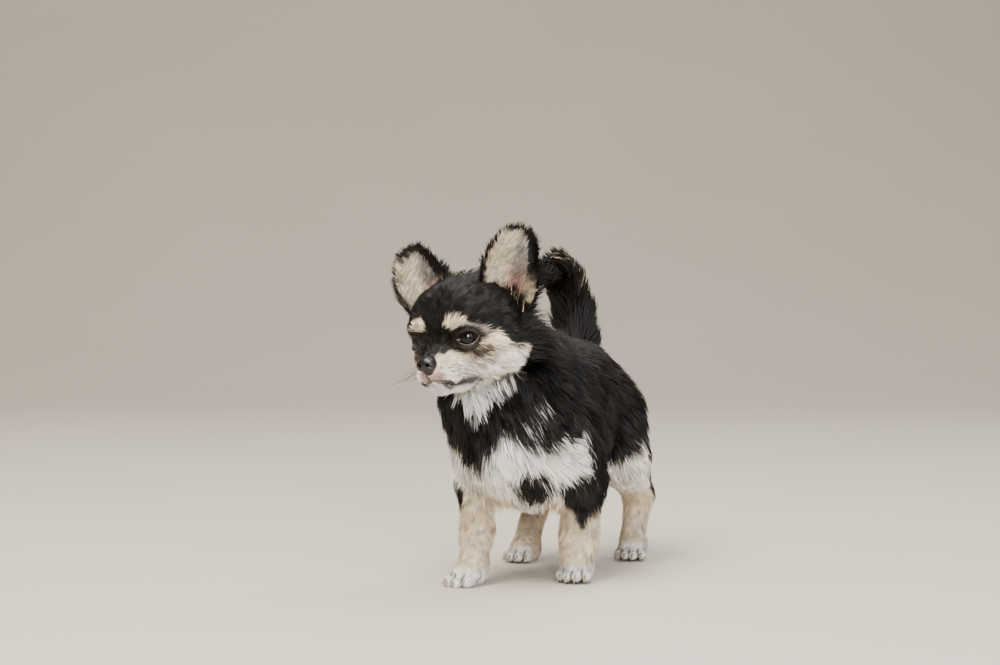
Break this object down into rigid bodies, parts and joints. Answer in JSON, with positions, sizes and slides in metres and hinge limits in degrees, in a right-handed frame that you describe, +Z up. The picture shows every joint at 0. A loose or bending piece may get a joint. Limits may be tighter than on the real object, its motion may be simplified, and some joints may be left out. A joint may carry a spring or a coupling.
{
  "type": "chihuahua puppy figure",
  "caption": "Life-size long-coated chihuahua puppy in mid step, head turned to its right and tail curled over its back, standing on its paws.",
  "frame": {"origin": "middle of the bounding box over the floor the paws stand on", "axes": "+Z up, the puppy faces -Y, its left side is +X"},
  "size_m": [0.1224, 0.2452, 0.2161],
  "materials": {
    "black_coat": "soft black guard hair",
    "cream_coat": "short cream hair",
    "white_coat": "short white hair",
    "nose_leather": "moist pebbled skin",
    "eye": "wet and glossy"
  },
  "bodies": {
    "root": {"head": "black_coat", "lower_jaw": "white_coat", "nose": "nose_leather", "eye_left": "eye", "eye_right": "eye", "ear_left": "black_coat", "ear_right": "black_coat", "neck": "black_coat", "torso": "black_coat", "foreleg_left": "cream_coat", "forepaw_left": "cream_coat", "foreleg_right": "cream_coat", "forepaw_right": "cream_coat", "hindleg_left": "cream_coat", "hindpaw_left": "cream_coat", "hindleg_right": "cream_coat", "hindpaw_right": "cream_coat", "tail_root": "black_coat", "tail_plume": "black_coat"}
  },
  "joints": []
}
